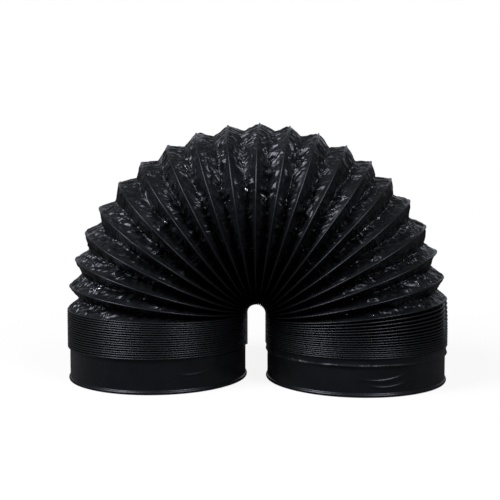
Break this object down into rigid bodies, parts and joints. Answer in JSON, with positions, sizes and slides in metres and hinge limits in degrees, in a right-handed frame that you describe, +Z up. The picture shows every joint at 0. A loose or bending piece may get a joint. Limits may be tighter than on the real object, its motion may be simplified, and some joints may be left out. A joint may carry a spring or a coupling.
{
  "type": "flexible air duct",
  "caption": "Black film duct for carrying air, wound on a spring wire and bent into an upside-down U, with closed-up legs on smooth cuffs and pleats that fan open over the arch.",
  "frame": {"origin": "on the floor, midway between the two legs", "axes": "+Z up, +X from the left leg to the right leg, +Y through the arch, away from the viewer"},
  "size_m": [0.3296, 0.157, 0.2202],
  "materials": {
    "duct_film": "thin crumpled black laminate, satin to glossy",
    "spring_wire": "drawn spring steel under the film",
    "end_collar": "plain black moulded plastic"
  },
  "bodies": {
    "left_end": {"left_end_collar": "end_collar", "left_cuff_film": "duct_film", "left_stack_film": "duct_film", "left_stack_wire": "spring_wire"},
    "turn_01": {"arch_wire_01": "spring_wire", "arch_film_01": "duct_film"},
    "turn_02": {"arch_wire_02": "spring_wire", "arch_film_02": "duct_film"},
    "turn_03": {"arch_wire_03": "spring_wire", "arch_film_03": "duct_film"},
    "turn_04": {"arch_wire_04": "spring_wire", "arch_film_04": "duct_film"},
    "turn_05": {"arch_wire_05": "spring_wire", "arch_film_05": "duct_film"},
    "turn_06": {"arch_wire_06": "spring_wire", "arch_film_06": "duct_film"},
    "turn_07": {"arch_wire_07": "spring_wire", "arch_film_07": "duct_film"},
    "turn_08": {"arch_wire_08": "spring_wire", "arch_film_08": "duct_film"},
    "turn_09": {"arch_wire_09": "spring_wire", "arch_film_09": "duct_film"},
    "turn_10": {"arch_wire_10": "spring_wire", "arch_film_10": "duct_film"},
    "turn_11": {"arch_wire_11": "spring_wire", "arch_film_11": "duct_film"},
    "turn_12": {"arch_wire_12": "spring_wire", "arch_film_12": "duct_film"},
    "turn_13": {"arch_wire_13": "spring_wire", "arch_film_13": "duct_film"},
    "turn_14": {"arch_wire_14": "spring_wire", "arch_film_14": "duct_film"},
    "turn_15": {"arch_wire_15": "spring_wire", "arch_film_15": "duct_film"},
    "turn_16": {"arch_wire_16": "spring_wire", "arch_film_16": "duct_film"},
    "turn_17": {"arch_wire_17": "spring_wire", "arch_film_17": "duct_film"},
    "turn_18": {"arch_wire_18": "spring_wire", "arch_film_18": "duct_film"},
    "turn_19": {"arch_wire_19": "spring_wire", "arch_film_19": "duct_film"},
    "turn_20": {"arch_wire_20": "spring_wire", "arch_film_20": "duct_film"},
    "turn_21": {"arch_wire_21": "spring_wire"},
    "right_end": {"right_stack_wire": "spring_wire", "right_stack_film": "duct_film", "right_cuff_film": "duct_film", "right_end_collar": "end_collar"}
  },
  "joints": [
    {"name": "left_stretch", "type": "slide", "parent": "left_end", "child": "turn_01", "axis": [0, 0, 1], "range_m": [0, 0.454], "deforming": ["left_stack_film", "left_stack_wire"]},
    {"name": "bend_left", "type": "hinge", "parent": "turn_01", "child": "turn_02", "pos_m": [-0.00835, 0, 0.05567], "axis": [0, 1, 0], "range_deg": [-7.1, 0], "deforming": ["arch_film_01"]},
    {"name": "fold_03", "type": "hinge", "parent": "turn_02", "child": "turn_03", "pos_m": [-0.00818, 0, 0.05709], "axis": [0, 1, 0], "range_deg": [-8.21, 0.01], "deforming": ["arch_film_02"]},
    {"name": "fold_04", "type": "hinge", "parent": "turn_03", "child": "turn_04", "pos_m": [-0.00778, 0, 0.05846], "axis": [0, 1, 0], "range_deg": [-8.51, 0.01], "deforming": ["arch_film_03"]},
    {"name": "fold_05", "type": "hinge", "parent": "turn_04", "child": "turn_05", "pos_m": [-0.00715, 0, 0.05975], "axis": [0, 1, 0], "range_deg": [-8.61, 0.01], "deforming": ["arch_film_04"]},
    {"name": "fold_06", "type": "hinge", "parent": "turn_05", "child": "turn_06", "pos_m": [-0.00631, 0, 0.06091], "axis": [0, 1, 0], "range_deg": [-9.51, 0.01], "deforming": ["arch_film_05"]},
    {"name": "fold_07", "type": "hinge", "parent": "turn_06", "child": "turn_07", "pos_m": [-0.00529, 0, 0.0619], "axis": [0, 1, 0], "range_deg": [-9.01, 0.01], "deforming": ["arch_film_06"]},
    {"name": "fold_08", "type": "hinge", "parent": "turn_07", "child": "turn_08", "pos_m": [-0.00411, 0, 0.06271], "axis": [0, 1, 0], "range_deg": [-9.41, 0.01], "deforming": ["arch_film_07"]},
    {"name": "fold_09", "type": "hinge", "parent": "turn_08", "child": "turn_09", "pos_m": [-0.00281, 0, 0.0633], "axis": [0, 1, 0], "range_deg": [-9.21, 0.01], "deforming": ["arch_film_08"]},
    {"name": "fold_10", "type": "hinge", "parent": "turn_09", "child": "turn_10", "pos_m": [-0.00143, 0, 0.06367], "axis": [0, 1, 0], "range_deg": [-9.81, 0.01], "deforming": ["arch_film_09"]},
    {"name": "fold_11", "type": "hinge", "parent": "turn_10", "child": "turn_11", "pos_m": [0, 0, 0.06379], "axis": [0, 1, 0], "range_deg": [-9.51, 0.01], "deforming": ["arch_film_10"]},
    {"name": "bend_right", "type": "hinge", "parent": "turn_11", "child": "turn_12", "pos_m": [0.00143, 0, 0.06367], "axis": [0, 1, 0], "range_deg": [-9.1, 0], "deforming": ["arch_film_11"]},
    {"name": "fold_13", "type": "hinge", "parent": "turn_12", "child": "turn_13", "pos_m": [0.00281, 0, 0.0633], "axis": [0, 1, 0], "range_deg": [-8.81, 0.01], "deforming": ["arch_film_12"]},
    {"name": "fold_14", "type": "hinge", "parent": "turn_13", "child": "turn_14", "pos_m": [0.00411, 0, 0.06271], "axis": [0, 1, 0], "range_deg": [-9.01, 0.01], "deforming": ["arch_film_13"]},
    {"name": "fold_15", "type": "hinge", "parent": "turn_14", "child": "turn_15", "pos_m": [0.00529, 0, 0.0619], "axis": [0, 1, 0], "range_deg": [-8.61, 0.01], "deforming": ["arch_film_14"]},
    {"name": "fold_16", "type": "hinge", "parent": "turn_15", "child": "turn_16", "pos_m": [0.00631, 0, 0.06091], "axis": [0, 1, 0], "range_deg": [-7.71, 0.01], "deforming": ["arch_film_15"]},
    {"name": "fold_17", "type": "hinge", "parent": "turn_16", "child": "turn_17", "pos_m": [0.00715, 0, 0.05975], "axis": [0, 1, 0], "range_deg": [-8.41, 0.01], "deforming": ["arch_film_16"]},
    {"name": "fold_18", "type": "hinge", "parent": "turn_17", "child": "turn_18", "pos_m": [0.00778, 0, 0.05846], "axis": [0, 1, 0], "range_deg": [-8.91, 0.01], "deforming": ["arch_film_17"]},
    {"name": "fold_19", "type": "hinge", "parent": "turn_18", "child": "turn_19", "pos_m": [0.00818, 0, 0.05709], "axis": [0, 1, 0], "range_deg": [-8.11, 0.01], "deforming": ["arch_film_18"]},
    {"name": "fold_20", "type": "hinge", "parent": "turn_19", "child": "turn_20", "pos_m": [0.00835, 0, 0.05567], "axis": [0, 1, 0], "range_deg": [-7.81, 0.01], "deforming": ["arch_film_19"]},
    {"name": "fold_21", "type": "hinge", "parent": "turn_20", "child": "turn_21", "pos_m": [0.00835, 0, 0.05424], "axis": [0, 1, 0], "range_deg": [-6.41, 0.01], "deforming": ["arch_film_20"]},
    {"name": "right_stretch", "type": "slide", "parent": "turn_21", "child": "right_end", "axis": [0, 0, -1], "range_m": [0, 0.428], "deforming": ["right_stack_film", "right_stack_wire"]}
  ],
  "couplings": [
    {"joint": "fold_03", "follows": "bend_left", "ratio": 1.1549},
    {"joint": "fold_04", "follows": "bend_left", "ratio": 1.1972},
    {"joint": "fold_05", "follows": "bend_left", "ratio": 1.2113},
    {"joint": "fold_06", "follows": "bend_left", "ratio": 1.338},
    {"joint": "fold_07", "follows": "bend_left", "ratio": 1.2676},
    {"joint": "fold_08", "follows": "bend_left", "ratio": 1.3239},
    {"joint": "fold_09", "follows": "bend_left", "ratio": 1.2958},
    {"joint": "fold_10", "follows": "bend_left", "ratio": 1.3803},
    {"joint": "fold_11", "follows": "bend_left", "ratio": 1.338},
    {"joint": "fold_13", "follows": "bend_right", "ratio": 0.96703},
    {"joint": "fold_14", "follows": "bend_right", "ratio": 0.98901},
    {"joint": "fold_15", "follows": "bend_right", "ratio": 0.94505},
    {"joint": "fold_16", "follows": "bend_right", "ratio": 0.84615},
    {"joint": "fold_17", "follows": "bend_right", "ratio": 0.92308},
    {"joint": "fold_18", "follows": "bend_right", "ratio": 0.97802},
    {"joint": "fold_19", "follows": "bend_right", "ratio": 0.89011},
    {"joint": "fold_20", "follows": "bend_right", "ratio": 0.85714},
    {"joint": "fold_21", "follows": "bend_right", "ratio": 0.7033}
  ]
}
